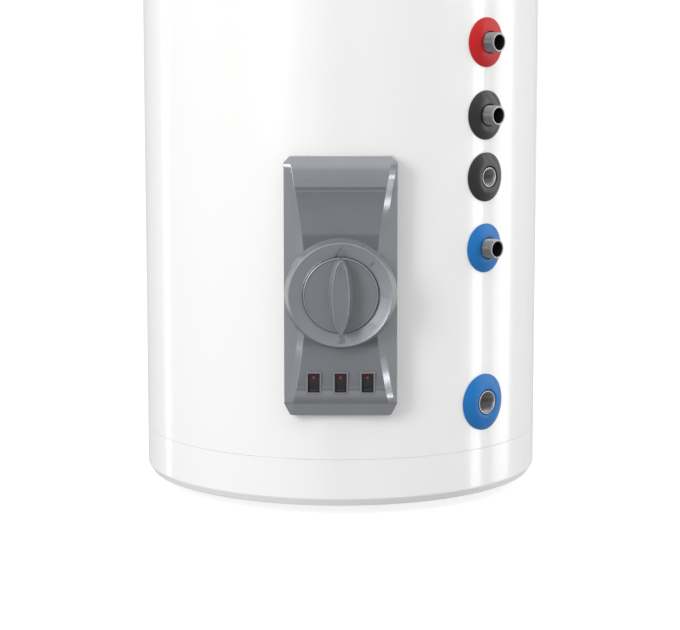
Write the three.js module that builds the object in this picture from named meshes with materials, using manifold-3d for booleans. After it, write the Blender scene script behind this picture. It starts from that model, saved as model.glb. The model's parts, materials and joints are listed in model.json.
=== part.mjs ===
// Floor-standing tank water heater with side ports, an immersion heater flange and a control cover.
// Millimetres, +Z up. The control cover faces -Y, and the origin is under the middle of the bounding box.
import * as THREE from 'three';
import { mergeVertices } from 'three/addons/utils/BufferGeometryUtils.js';
import Module from 'manifold-3d';

const wasm = await Module();
wasm.setup();

// ---- Driving dimensions ----------------------------------------------------------------------------
const GAP = 0.3; // clearance between pieces that touch on the real object
const ROUND = 40; // sides of every shell that is coaxial with the tank
const AXIS_Y = 20; // tank axis behind the middle of the bounding box

const HEIGHT = 1440;
const FOOT_HEIGHT = 15;
const CASING_R = 280;
const CASING_WALL = 1.5;
const CAP_WALL = 2;
const LOWER_SEAM = 79; // joint between bottom cap and casing
const UPPER_SEAM = 1376; // joint between casing and top cap
const CHAMFER = { high: 10.5, deep: 6.5 }; // outer edge of both caps
const TOP_PLATE = HEIGHT - 2.5; // upper face of the top cap, under the rim of its plug

const TANK_R = 235;
const TANK_WALL = 2.5;
const TANK_BOTTOM = 55;
const TANK_TOP = 1400;
const TANK_DOME = 55; // height of each domed end
const SKIRT = { r: 184, wall: 3 }; // ring that the tank stands on

const PORT_ANGLE = (44 * Math.PI) / 180; // ports stand to the right of the cover
const PIPE = { r: 13.2, bore: 10.25, reach: 23 };
const PORTS = {
  hot: { z: 630, r: PIPE.r, bore: PIPE.bore, end: CASING_R + PIPE.reach },
  recirculation: { z: 533, r: PIPE.r, bore: PIPE.bore, end: CASING_R + PIPE.reach },
  sensor: { z: 450, r: 13.5, bore: PIPE.bore, end: CASING_R + 7 },
  cold: { z: 354, r: PIPE.r, bore: PIPE.bore, end: CASING_R + PIPE.reach },
  drain: { z: 143, r: 16.5, bore: 13.25, end: CASING_R + 7 },
};
const ROSETTE = { r: 33, opening: 14, height: 7.5, rim: 2 };
const DRAIN_ROSETTE = { r: 38.5, opening: 17.2, height: 8, rim: 2 };
const DIP_TUBE = { r: 8.8, bore: 7.3, bend: 30 };

const COVER = { width: 149, bottom: 141.5, top: 484, chamfer: 8, back: 255, front: 294, wall: 2.5 };
// The raised hourglass face of the cover.
const CREST = { half: 65, waist: 45, waistZ: 300, flare: 1.7, front: 304, low: 155, high: 472 };
const DIAL_Z = 305;
const DIAL = { r: 72.5, face: 68.5, inner: 50.3, front: 318 };
const KNOB = { r: 49.5, back: 306, shoulder: 318, front: 324 };
const GRIP = { half: 47, base: 15.7, top: 10, front: 342 };
const SPINDLE_R = 3;
// The two screws that hold the cover from below.
const SCREW = { x: 50, out: 286.2, head: 2.8, thick: 1.7, shank: 1.5, boss: 5.5, length: 16 };

const SWITCH = { z: 187.5, pitch: 35.3, width: 20.3, height: 29.6, front: 305.5, back: 287, lip: 1.3 };
const ROCKER = { width: 13.7, length: 23.9, pivot: 300.5, tilt: 7 };
const INDICATOR = { r: 2, up: 7 };

const FLANGE = {
  r: 65, front: 266, thick: 8, neck: 50, neckWall: 3, gasket: 3, collar: 8, bolts: 5, circle: 56.5,
};
const BOLT = { shank: 3, hole: 3.3, head: 5.8, headHigh: 4.5, into: 7 };
const WINDOW = { half: 68.5, low: DIAL_Z - 72, high: DIAL_Z + 72 };
const ELEMENT = { r: 4, offset: 27, half: 11, reach: 370 };
const POCKET = { r: 6, bore: 4, reach: 300 };
const ANODE = { r: 13, length: 560, plug: 16.5, hex: 24 };
const TOP_PLUG_R = 30;
const GLAND = { z: 150, r: 11, bore: 4.5, reach: 22, neck: 7.4 };
// The bracket behind the cover and the cutout on it.
const BRACKET = { half: 62, back: 283, thick: 1.5, low: 392, high: 470, tab: 8 };
const CUTOUT = { x: 20, z: 410, r: 12, front: 290.5, button: 3 };

// ---- Finishes --------------------------------------------------------------------------------------
const finish = (color, roughness, metalness = 0) =>
  new THREE.MeshStandardMaterial({ color, roughness, metalness });
const FINISH = {
  enamel: finish(0xf4f4f2, 0.25),
  greyPlastic: finish(0x8d9097, 0.45),
  blackPlastic: finish(0x2c2c2d, 0.4),
  redPlastic: finish(0xbe2628, 0.35),
  bluePlastic: finish(0x2673b9, 0.35),
  redLens: finish(0xb40000, 0.15),
  steel: finish(0xa9abad, 0.35, 0.9),
  glassLining: finish(0x2f4f73, 0.3),
  foam: finish(0xe6d9a8, 0.9),
  rubber: finish(0x1e1e1e, 0.8),
  copper: finish(0xb87350, 0.35, 0.9),
  magnesium: finish(0xb9bcc0, 0.6, 0.6),
};

// ---- Geometry helpers ------------------------------------------------------------------------------
function welded(geometry) {
  const bare = geometry.clone();
  bare.deleteAttribute('normal');
  bare.deleteAttribute('uv');
  const merged = mergeVertices(bare, 1e-3);
  const index = merged.index.array;
  const kept = [];
  for (let i = 0; i < index.length; i += 3) {
    const [a, b, c] = [index[i], index[i + 1], index[i + 2]];
    if (a !== b && b !== c && c !== a) kept.push(a, b, c);
  }
  merged.setIndex(kept);
  return merged;
}

function solid(geometry) {
  const merged = welded(geometry);
  return new wasm.Manifold(new wasm.Mesh({
    numProp: 3,
    vertProperties: Float32Array.from(merged.attributes.position.array),
    triVerts: Uint32Array.from(merged.index.array),
  }));
}

function surface(body) {
  const mesh = body.getMesh();
  const geometry = new THREE.BufferGeometry();
  geometry.setAttribute('position', new THREE.BufferAttribute(mesh.vertProperties, 3));
  geometry.setIndex(new THREE.BufferAttribute(mesh.triVerts, 1));
  geometry.computeVertexNormals();
  return geometry;
}

function cut(from, ...tools) {
  return surface(tools.reduce((left, tool) => left.subtract(solid(tool)), solid(from)));
}

function join(first, ...more) {
  return surface(more.reduce((sum, item) => sum.add(solid(item)), solid(first)));
}

// A body of revolution about +Z. The outline is [radius, height] pairs, rising on its outer side.
function turned(outline, sides = ROUND) {
  const points = outline.map(([r, z]) => new THREE.Vector2(r, z));
  return new THREE.LatheGeometry(points, sides).rotateX(Math.PI / 2);
}

// The same about the line that leaves the tank axis towards -Y, at a height.
const turnedForward = (outline, z, sides = 18) =>
  turned(outline, sides).rotateX(Math.PI / 2).translate(0, 0, z);

const ring = (inner, outer, low, high) =>
  [[inner, low], [outer, low], [outer, high], [inner, high], [inner, low]];
const disc = (radius, low, high) => [[0, low], [radius, low], [radius, high], [0, high]];

// An outline in X and Z, raised from one distance in front of the tank axis to another.
function raised(outline, from, to) {
  const shape = new THREE.Shape(outline.map(([x, z]) => new THREE.Vector2(x, z)));
  const geometry = new THREE.ExtrudeGeometry(shape, { depth: to - from, bevelEnabled: false });
  return geometry.translate(0, 0, from).rotateX(Math.PI / 2);
}

// A block between two corners given as [x, distance in front of the axis, z].
function block([x0, d0, z0], [x1, d1, z1]) {
  return new THREE.BoxGeometry(x1 - x0, d1 - d0, z1 - z0)
    .translate((x0 + x1) / 2, -(d0 + d1) / 2, (z0 + z1) / 2);
}

const casingSolid = (radius) => turned(disc(radius, 0, HEIGHT));

// A pipe along stations that are joined by straight steps.
class PipeRun extends THREE.Curve {
  constructor(stations) {
    super();
    this.stations = stations;
  }

  getPoint(t, target = new THREE.Vector3()) {
    const place = t * (this.stations.length - 1);
    const index = Math.min(Math.floor(place), this.stations.length - 2);
    return target.copy(this.stations[index]).lerp(this.stations[index + 1], place - index);
  }

  getPointAt(u, target) {
    return this.getPoint(u, target);
  }

  getTangentAt(u, target) {
    return this.getTangent(u, target);
  }
}

function circle(radius, sides) {
  const points = [];
  for (let i = 0; i < sides; i += 1) {
    const angle = (i / sides) * 2 * Math.PI;
    points.push(new THREE.Vector2(radius * Math.cos(angle), radius * Math.sin(angle)));
  }
  return points;
}

function piped(stations, outer, inner, sides = 8) {
  const shape = new THREE.Shape(circle(outer, sides));
  if (inner > 0) shape.holes.push(new THREE.Path(circle(inner, sides)));
  const path = new PipeRun(stations);
  return new THREE.ExtrudeGeometry(shape, { steps: stations.length - 1, extrudePath: path });
}

// Stations of a quarter bend in the Y-Z plane, from running along Y to running along Z.
function quarterBend(corner, radius, upward, steps = 4) {
  const stations = [];
  for (let i = 0; i <= steps; i += 1) {
    const angle = (i / steps) * (Math.PI / 2);
    const along = radius * (1 - Math.sin(angle));
    const rise = radius * (1 - Math.cos(angle));
    stations.push(new THREE.Vector3(0, corner.y - along, corner.z + upward * rise));
  }
  return stations;
}

// ---- The group that the pieces hang in -------------------------------------------------------------
const heater = new THREE.Group();
heater.position.y = AXIS_Y;
const portLine = new THREE.Group();
portLine.rotation.z = PORT_ANGLE;
heater.add(portLine);

function piece(name, geometry, material, parent = heater) {
  const mesh = new THREE.Mesh(geometry, material);
  mesh.name = name;
  parent.add(mesh);
  return mesh;
}

// ---- Casing, caps and feet -------------------------------------------------------------------------
const portHole = (port, radius, from, to) =>
  turnedForward(disc(radius, from, to), port.z).rotateZ(PORT_ANGLE);
const casingHoleR = (port) => port.r + 1.5;
const windowCutter = () => block(
  [-WINDOW.half, TANK_R - 20, WINDOW.low],
  [WINDOW.half, CASING_R + 5, WINDOW.high],
);
const glandHole = (radius) =>
  turnedForward(disc(radius, CASING_R - 60, CASING_R + 5), GLAND.z, 16).rotateZ(Math.PI);

function addCasing() {
  const shell = turned(ring(CASING_R - CASING_WALL, CASING_R, LOWER_SEAM, UPPER_SEAM));
  const holes = Object.values(PORTS).map((port) => portHole(port, casingHoleR(port), 260, 290));
  piece('outer_casing', cut(shell, windowCutter(), glandHole(GLAND.neck + 0.6), ...holes), FINISH.enamel);
}

function addCaps() {
  const low = FOOT_HEIGHT;
  const inner = CASING_R - CAP_WALL;
  const edge = CASING_R - CHAMFER.deep;
  const seam = LOWER_SEAM - GAP;
  piece('bottom_cap', turned([
    [0, low], [edge, low], [CASING_R, low + CHAMFER.high], [CASING_R, seam], [inner, seam],
    [inner, low + CHAMFER.high + 1], [edge - 2, low + CAP_WALL], [0, low + CAP_WALL],
  ]), FINISH.enamel);

  const top = TOP_PLATE;
  const upper = UPPER_SEAM + GAP;
  piece('top_cap', turned([
    [inner, upper], [CASING_R, upper], [CASING_R, top - CHAMFER.high], [edge, top],
    [TOP_PLUG_R, top], [TOP_PLUG_R, top - CAP_WALL], [edge - 2, top - CAP_WALL],
    [inner, top - CHAMFER.high - 1], [inner, upper],
  ]), FINISH.enamel);

  const stem = TOP_PLUG_R - GAP;
  piece('top_plug', turned([
    [0, top - 6], [stem, top - 6], [stem, top + GAP], [stem + 6, top + GAP],
    [stem + 5, HEIGHT], [0, HEIGHT],
  ], 20), FINISH.greyPlastic);
}

function addFeet() {
  const places = { foot_rear: Math.PI / 2, foot_left: -2.618, foot_right: -0.5236 };
  for (const [name, angle] of Object.entries(places)) {
    const foot = turned([
      [0, 0], [20, 0], [20, 8], [15, FOOT_HEIGHT - GAP], [0, FOOT_HEIGHT - GAP],
    ], 20);
    const mesh = piece(name, foot, FINISH.rubber);
    mesh.position.set(170 * Math.cos(angle), 170 * Math.sin(angle), 0);
  }
}

// ---- Tank and insulation ---------------------------------------------------------------------------
// Points of a domed end, from the axis outwards; up is 1 for the top end and -1 for the bottom one.
function dome(radius, edge, height, up, steps = 3) {
  const points = [];
  for (let i = 0; i <= steps; i += 1) {
    const angle = (i / steps) * (Math.PI / 2);
    points.push([radius * Math.sin(angle), edge + up * height * Math.cos(angle)]);
  }
  return points;
}

const tankLow = TANK_BOTTOM + TANK_DOME;
const tankHigh = TANK_TOP - TANK_DOME;
const flangeBack = FLANGE.front - FLANGE.thick;
const gasketBack = flangeBack - FLANGE.gasket;

function flangeBoltPlace(index) {
  const angle = (index / FLANGE.bolts) * 2 * Math.PI + Math.PI / 2;
  return [FLANGE.circle * Math.cos(angle), DIAL_Z + FLANGE.circle * Math.sin(angle)];
}

// A hole towards -Y whose flat sides stand off by its radius.
const forwardHole = ([x, z], radius, from, to, sides = 8) =>
  turnedForward(disc(radius / Math.cos(Math.PI / sides), from, to), z, sides).translate(x, 0, 0);

// The tank's wall as a closed outline of both domed ends.
const tankOutline = (radius, height) => [
  ...dome(radius, tankLow, height, -1),
  ...dome(radius, tankHigh, height, 1).reverse(),
];
const flangeRing = (outer, low, high) =>
  turnedForward(ring(FLANGE.neck - FLANGE.neckWall, outer, low, high), DIAL_Z, 24);

function addTank() {
  const inR = TANK_R - TANK_WALL;
  const seat = gasketBack - GAP;
  const outside = tankOutline(TANK_R, TANK_DOME);
  const inside = tankOutline(inR, TANK_DOME - TANK_WALL);
  const neck = flangeRing(FLANGE.neck, inR - 12, seat);
  const collar = flangeRing(FLANGE.r, gasketBack - FLANGE.collar, seat);
  const mouth = turnedForward(disc(FLANGE.neck - FLANGE.neckWall, inR - 20, gasketBack + 1), DIAL_Z, 24);
  let body = solid(turned(outside)).add(solid(neck)).add(solid(collar));
  body = body.subtract(solid(turned(inside))).subtract(solid(mouth));
  for (const port of Object.values(PORTS)) {
    body = body.subtract(solid(portHole(port, DIP_TUBE.r + GAP, 220, 245)));
  }
  body = body.subtract(solid(turned(disc(ANODE.plug + GAP, TANK_TOP - 20, TANK_TOP + 20), 16)));
  for (let i = 0; i < FLANGE.bolts; i += 1) {
    const hole = forwardHole(flangeBoltPlace(i), BOLT.hole, gasketBack - FLANGE.collar - 2, gasketBack + 1);
    body = body.subtract(solid(hole));
  }
  piece('inner_tank', surface(body), FINISH.glassLining);

  const skirtTop = tankLow - TANK_DOME * Math.sqrt(1 - (SKIRT.r / TANK_R) ** 2) - 1.5;
  piece('tank_skirt', turned(ring(
    SKIRT.r - SKIRT.wall, SKIRT.r, FOOT_HEIGHT + CAP_WALL + GAP, skirtTop - 2,
  )), FINISH.steel);
}

function addInsulation() {
  const outer = CASING_R - CAP_WALL - GAP;
  const jacket = turned(ring(TANK_R + GAP, outer, tankLow + GAP, tankHigh - GAP));
  const holes = Object.values(PORTS).map((port) => portHole(port, port.r + GAP, 225, 285));
  piece('insulation_jacket', cut(jacket, windowCutter(), glandHole(GLAND.r + 2), ...holes), FINISH.foam);

  const lid = TOP_PLATE - CAP_WALL - GAP;
  const topDome = dome(TANK_R + GAP, tankHigh + GAP, TANK_DOME, 1).filter(([r]) => r > TOP_PLUG_R);
  piece('top_insulation', turned([
    [TANK_R + GAP, tankHigh + GAP], [outer, tankHigh + GAP], [outer, lid - CHAMFER.high - 1],
    [outer - CHAMFER.deep, lid], [TOP_PLUG_R + 2, lid], [TOP_PLUG_R + 2, TANK_TOP + GAP],
    ...topDome.slice(0, -1), [TANK_R + GAP, tankHigh + GAP],
  ]), FINISH.foam);

  const floor = FOOT_HEIGHT + CAP_WALL + GAP;
  const skirtSide = SKIRT.r + GAP;
  const lowDome = dome(TANK_R + GAP, tankLow - GAP, TANK_DOME, -1).filter(([r]) => r > skirtSide);
  piece('bottom_insulation', turned([
    [skirtSide, floor], [outer - CHAMFER.deep - 4, floor], [outer, floor + CHAMFER.high + 2],
    [outer, tankLow - GAP], ...lowDome.reverse(),
    [skirtSide, tankLow - TANK_DOME * 0.7], [skirtSide, floor],
  ]), FINISH.foam);
}

function addAnode() {
  const seat = TANK_TOP - 4;
  piece('anode_rod', turned(disc(ANODE.r, seat - 8 - ANODE.length, seat - 8 - GAP), 16), FINISH.magnesium);
  const thread = turned(disc(ANODE.plug, seat - 8, TANK_TOP + 2), 16);
  const head = turned(disc(ANODE.hex, TANK_TOP + 1, TANK_TOP + 14), 6);
  piece('anode_plug', join(thread, head), FINISH.steel);
}

// ---- Ports -----------------------------------------------------------------------------------------
function addPort(name, port) {
  const start = TANK_R + GAP;
  const lip = 1;
  piece(name, turnedForward([
    [port.bore, start], [port.r, start], [port.r, port.end - lip], [port.r - lip, port.end],
    [port.bore, port.end], [port.bore, start],
  ], port.z), FINISH.steel, portLine);
}

function addRosette(name, port, size, material) {
  const low = CASING_R - 3;
  const top = CASING_R + size.height;
  const outline = [[size.opening, low], [size.r, low], [size.r, CASING_R + size.rim]];
  const steps = 3;
  for (let i = 1; i <= steps; i += 1) {
    const angle = (i / steps) * (Math.PI / 2);
    outline.push([
      size.r - (size.r - size.opening) * (1 - Math.cos(angle)),
      CASING_R + size.rim + (top - CASING_R - size.rim) * Math.sin(angle),
    ]);
  }
  outline.push([size.opening, low]);
  const seat = casingSolid(CASING_R + GAP).rotateZ(-PORT_ANGLE);
  piece(name, cut(turnedForward(outline, port.z), seat), material, portLine);
}

function addPorts() {
  addPort('hot_outlet_pipe', PORTS.hot);
  addPort('recirculation_pipe', PORTS.recirculation);
  addPort('sensor_socket', PORTS.sensor);
  addPort('cold_inlet_pipe', PORTS.cold);
  addPort('drain_socket', PORTS.drain);
  addRosette('hot_rosette', PORTS.hot, ROSETTE, FINISH.redPlastic);
  addRosette('recirculation_rosette', PORTS.recirculation, ROSETTE, FINISH.blackPlastic);
  addRosette('sensor_rosette', PORTS.sensor, ROSETTE, FINISH.blackPlastic);
  addRosette('cold_rosette', PORTS.cold, ROSETTE, FINISH.bluePlastic);
  addRosette('drain_rosette', PORTS.drain, DRAIN_ROSETTE, FINISH.bluePlastic);
}

// Tubes inside the tank: the hot one rises to the top, the cold one turns down to the bottom.
function addDipTubes() {
  const start = -(TANK_R + 12);
  const dipTube = (port, corner, end) => {
    const turn = Math.sign(end - port.z);
    return piped([
      new THREE.Vector3(0, start, port.z),
      ...quarterBend(new THREE.Vector3(0, corner, port.z), DIP_TUBE.bend, turn),
      new THREE.Vector3(0, corner, end),
    ], DIP_TUBE.r, DIP_TUBE.bore);
  };
  piece('hot_dip_tube', dipTube(PORTS.hot, -140, tankHigh + 20), FINISH.copper, portLine);
  piece('cold_dip_tube', dipTube(PORTS.cold, -170, 160), FINISH.copper, portLine);
}

// ---- Immersion heater ------------------------------------------------------------------------------
const ELEMENT_ANGLES = [0, 1, 2].map((k) => Math.PI / 2 + (k * 2 * Math.PI) / 3);
const elementMiddle = (angle) => [ELEMENT.offset * Math.cos(angle), ELEMENT.offset * Math.sin(angle)];

function elementLegs(angle) {
  const [x, z] = elementMiddle(angle);
  const [tx, tz] = [-Math.sin(angle) * ELEMENT.half, Math.cos(angle) * ELEMENT.half];
  return [[x + tx, DIAL_Z + z + tz], [x - tx, DIAL_Z + z - tz]];
}

function addFlange() {
  const bolts = Array.from({ length: FLANGE.bolts }, (_, i) => flangeBoltPlace(i));
  const legs = ELEMENT_ANGLES.flatMap(elementLegs);
  const plate = turnedForward(disc(FLANGE.r, flangeBack, FLANGE.front), DIAL_Z, 24);
  piece('element_flange', cut(
    plate,
    ...bolts.map((place) => forwardHole(place, BOLT.hole, flangeBack - 1, FLANGE.front + 1)),
    ...legs.map((place) => forwardHole(place, ELEMENT.r + GAP, flangeBack - 1, FLANGE.front + 1)),
    forwardHole([0, DIAL_Z], POCKET.r + GAP, flangeBack - 1, FLANGE.front + 1),
  ), FINISH.steel);

  piece('flange_gasket', cut(
    flangeRing(FLANGE.r, gasketBack, flangeBack - GAP),
    ...bolts.map((place) => forwardHole(place, BOLT.hole, gasketBack - 1, flangeBack)),
  ), FINISH.rubber);

  bolts.forEach(([x, z], i) => {
    const shank = turnedForward(disc(BOLT.shank, gasketBack - BOLT.into, FLANGE.front + 2), z, 10);
    const head = turnedForward(disc(BOLT.head, FLANGE.front + GAP, FLANGE.front + BOLT.headHigh), z, 6);
    piece(`flange_bolt_${i + 1}`, join(shank, head), FINISH.steel).position.x = x;
  });
}

function addElements() {
  ELEMENT_ANGLES.forEach((angle, index) => {
    const [[ax, az], [bx, bz]] = elementLegs(angle);
    const out = -(FLANGE.front + 5);
    const turnAt = out + ELEMENT.reach;
    const stations = [new THREE.Vector3(ax, out, az)];
    const steps = 6;
    for (let i = 0; i <= steps; i += 1) {
      const sweep = (i / steps) * Math.PI;
      const side = (1 - Math.cos(sweep)) / 2;
      const bulge = ELEMENT.half * Math.sin(sweep);
      stations.push(new THREE.Vector3(ax + (bx - ax) * side, turnAt + bulge, az + (bz - az) * side));
    }
    stations.push(new THREE.Vector3(bx, out, bz));
    piece(`heating_element_${index + 1}`, piped(stations, ELEMENT.r, 0, 8), FINISH.copper);
  });
}

function addThermostat() {
  const back = FLANGE.front - POCKET.reach;
  const bodyBack = FLANGE.front + 5;
  piece('thermostat_pocket', turnedForward([
    [0, back], [POCKET.r, back], [POCKET.r, FLANGE.front + 3], [POCKET.bore, FLANGE.front + 3],
    [POCKET.bore, back + 3], [0, back + 3],
  ], DIAL_Z, 12), FINISH.copper);
  piece('thermostat_rod', turnedForward(disc(3.4, back + 6, bodyBack - GAP), DIAL_Z, 12), FINISH.copper);
  const body = block([-24, bodyBack, DIAL_Z - 22], [24, CREST.front - 10, DIAL_Z + 22]);
  const bore = forwardHole([0, DIAL_Z], SPINDLE_R + GAP, CREST.front - 18, CREST.front);
  piece('thermostat_body', cut(body, bore), FINISH.blackPlastic);
  piece('thermostat_spindle', turnedForward(
    disc(SPINDLE_R, CREST.front - 17, KNOB.shoulder + 2), DIAL_Z, 16,
  ), FINISH.steel);
}

// ---- Control cover ---------------------------------------------------------------------------------
function chamferedPanel(inset) {
  const half = COVER.width / 2 - inset;
  const [low, high, corner] = [COVER.bottom + inset, COVER.top - inset, COVER.chamfer];
  return [
    [-half + corner, low], [half - corner, low], [half, low + corner], [half, high - corner],
    [half - corner, high], [-half + corner, high], [-half, high - corner], [-half, low + corner],
  ];
}

// Half-width of the hourglass face at a height: wide at both ends, narrow behind the dial.
function crestHalf(z) {
  const span = z > CREST.waistZ ? CREST.high - CREST.waistZ : CREST.waistZ - CREST.low;
  const away = Math.min(1, Math.abs(z - CREST.waistZ) / span);
  return CREST.waist + (CREST.half - CREST.waist) * away ** CREST.flare;
}

function crestOutline(grow) {
  const steps = 8;
  const rise = CREST.high - CREST.low + 2 * grow;
  const right = [];
  for (let i = 0; i <= steps; i += 1) {
    const z = CREST.low - grow + (rise * i) / steps;
    right.push([crestHalf(z) + grow, z]);
  }
  return [...right, ...right.map(([x, z]) => [-x, z]).reverse()];
}

const switchCentres = [-1, 0, 1].map((k) => k * SWITCH.pitch);

const screwPlaces = [-SCREW.x, SCREW.x];
const upright = (radius, low, high, x, sides = 12) =>
  turned(disc(radius, low, high), sides).translate(x, -SCREW.out, 0);

// The holes in the cover for the spindle, the switches and the screws.
function coverHoles() {
  const seat = COVER.bottom + SCREW.thick + 2 * GAP;
  return [
    forwardHole([0, DIAL_Z], SPINDLE_R + 1, COVER.front - 10, CREST.front + 1),
    ...switchCentres.map((x) => block(
      [x - SWITCH.width / 2 + 1, COVER.front - 10, SWITCH.z - SWITCH.height / 2 + 1],
      [x + SWITCH.width / 2 - 1, CREST.front + 1, SWITCH.z + SWITCH.height / 2 - 1],
    )),
    ...screwPlaces.map((x) => upright(SCREW.head + GAP, COVER.bottom - 1, seat, x)),
    ...screwPlaces.map((x) => upright(SCREW.shank + GAP, seat - 1, seat + 10, x)),
  ];
}

function addCover() {
  const { back, front, wall, bottom } = COVER;
  const shell = raised(chamferedPanel(0), back, front);
  const crest = raised(crestOutline(0), front - 2, CREST.front);
  const hollow = raised(chamferedPanel(wall), back - 5, front - wall);
  const crestHollow = raised(crestOutline(-wall), front - wall - 1, CREST.front - wall);
  const bosses = screwPlaces.map((x) => upright(SCREW.boss, bottom + 1, bottom + 6, x, 16));
  const hull = cut(join(shell, crest), hollow, crestHollow);
  const seated = cut(join(hull, ...bosses), casingSolid(CASING_R + GAP), ...coverHoles());
  piece('control_cover', seated, FINISH.greyPlastic);
}

function addDialRing() {
  const back = COVER.front + GAP;
  const outline = [
    [DIAL.inner, back], [DIAL.r, back], [DIAL.r, CREST.front + 2], [DIAL.face, DIAL.front],
    [DIAL.face - 2.5, DIAL.front], [DIAL.inner, DIAL.front - 5], [DIAL.inner, back],
  ];
  const body = turnedForward(outline, DIAL_Z, 36);
  piece('dial_ring', cut(body, raised(crestOutline(GAP), back - 2, CREST.front + GAP)), FINISH.greyPlastic);
}

// The grip's lens outline: two arcs that meet above and below the spindle.
function lens(half, wide, steps = 6) {
  const radius = (half * half + wide * wide) / (2 * wide);
  const right = [];
  for (let i = 0; i <= steps; i += 1) {
    const z = -half + (2 * half * i) / steps;
    right.push([Math.sqrt(radius * radius - z * z) - radius + wide, z + DIAL_Z]);
  }
  return [...right, ...right.slice(1, -1).map(([x, z]) => [-x, z]).reverse()];
}

function addKnob() {
  const bore = SPINDLE_R + GAP;
  const disk = turnedForward([
    [0, KNOB.shoulder + 2.3], [bore, KNOB.shoulder + 2.3], [bore, KNOB.back + 1], [9, KNOB.back + 1],
    [9, KNOB.shoulder + 1], [KNOB.r - 3, KNOB.shoulder - 1], [KNOB.r - 3, KNOB.back], [KNOB.r, KNOB.back],
    [KNOB.r, KNOB.shoulder], [KNOB.r - 2, KNOB.shoulder + 3], [KNOB.r - 9, KNOB.front - 1.5],
    [0, KNOB.front],
  ], DIAL_Z, 36);
  const grip = raised(lens(GRIP.half, GRIP.base), KNOB.shoulder + 3, GRIP.front);
  const places = grip.attributes.position;
  for (let i = 0; i < places.count; i += 1) {
    if (places.getY(i) < -(GRIP.front - 1)) {
      places.setX(i, (places.getX(i) * GRIP.top) / GRIP.base);
      places.setZ(i, DIAL_Z + (places.getZ(i) - DIAL_Z) * 0.92);
    }
  }
  piece('thermostat_knob', join(disk, grip), FINISH.greyPlastic);
}

// ---- Rocker switches -------------------------------------------------------------------------------
function addSwitch(x, index) {
  const [w, h] = [SWITCH.width / 2, SWITCH.height / 2];
  const opening = { w: ROCKER.width / 2 + 0.4, h: ROCKER.length / 2 + 0.55 };
  const seat = CREST.front + GAP;
  const bezel = block([-w, seat, SWITCH.z - h], [w, SWITCH.front, SWITCH.z + h]);
  const box = block(
    [-w + SWITCH.lip, SWITCH.back, SWITCH.z - h + SWITCH.lip],
    [w - SWITCH.lip, seat + 0.5, SWITCH.z + h - SWITCH.lip],
  );
  const well = block(
    [-opening.w, SWITCH.back + 4, SWITCH.z - opening.h],
    [opening.w, SWITCH.front + 1, SWITCH.z + opening.h],
  );
  const pinHole = turned(disc(1.5, -w + 0.6, w - 0.6), 10).rotateY(Math.PI / 2)
    .translate(0, -ROCKER.pivot, SWITCH.z);
  piece(`switch_housing_${index}`, cut(join(bezel, box), well, pinHole), FINISH.greyPlastic)
    .position.x = x;

  const half = ROCKER.length / 2;
  const tilt = (ROCKER.tilt * Math.PI) / 180;
  const profile = [
    [-half, 4], [-half, 0], [-9, -3], [-3.5, -7], [3.5, -7], [9, -3], [half, 0], [half, 4],
    [8, 2.8], [0, 2.2], [-8, 2.8],
  ].map(([up, out]) => new THREE.Vector2(-out, up));
  const sweep = { depth: ROCKER.width, bevelEnabled: false };
  const slab = new THREE.ExtrudeGeometry(new THREE.Shape(profile), sweep)
    .translate(0, 0, -ROCKER.width / 2)
    .applyMatrix4(new THREE.Matrix4().makeBasis(
      new THREE.Vector3(0, 1, 0), new THREE.Vector3(0, 0, 1), new THREE.Vector3(1, 0, 0),
    ));
  const pins = turned(disc(1.2, -w + 1, w - 1), 10).rotateY(Math.PI / 2);
  const seatHole = turned(disc(INDICATOR.r + GAP, 1.6, 5), 12).rotateX(Math.PI / 2)
    .translate(0, 0, INDICATOR.up);
  const rocker = piece(`switch_rocker_${index}`, cut(join(slab, pins), seatHole), FINISH.blackPlastic);
  const light = turned(disc(INDICATOR.r, 1.6 + GAP, 3.3), 12).rotateX(Math.PI / 2)
    .translate(0, 0, INDICATOR.up);
  const lamp = piece(`indicator_lens_${index}`, light, FINISH.redLens);
  for (const mesh of [rocker, lamp]) {
    mesh.position.set(x, -ROCKER.pivot, SWITCH.z);
    mesh.rotation.x = tilt;
  }
}

// ---- Pieces behind the cover -----------------------------------------------------------------------
function addElectrics() {
  const { half, back, thick, low, high } = BRACKET;
  const front = back + thick;
  const plate = block([-half, back, low], [half, front, high]);
  const tabs = [-half, half - thick].map((x) => block(
    [x, back - BRACKET.tab, low + BRACKET.tab],
    [x + thick, back + thick / 2, high - BRACKET.tab],
  ));
  piece('control_bracket', join(plate, ...tabs), FINISH.steel);
  const terminals = block([-45, front + GAP, high - 38], [45, COVER.front, high - 10]);
  piece('terminal_block', terminals, FINISH.blackPlastic);

  const seat = front + GAP;
  const body = turnedForward(disc(CUTOUT.r, seat, CUTOUT.front), CUTOUT.z, 20);
  const well = forwardHole([0, CUTOUT.z], CUTOUT.button + GAP, CUTOUT.front - 3.5, CUTOUT.front + 1);
  piece('thermal_cutout', cut(body, well), FINISH.blackPlastic).position.x = CUTOUT.x;
  const button = turnedForward(disc(CUTOUT.button, CUTOUT.front - 1.5, CUTOUT.front + 3.5), CUTOUT.z, 12);
  piece('reset_button', button, FINISH.redPlastic).position.x = CUTOUT.x;
}

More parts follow.
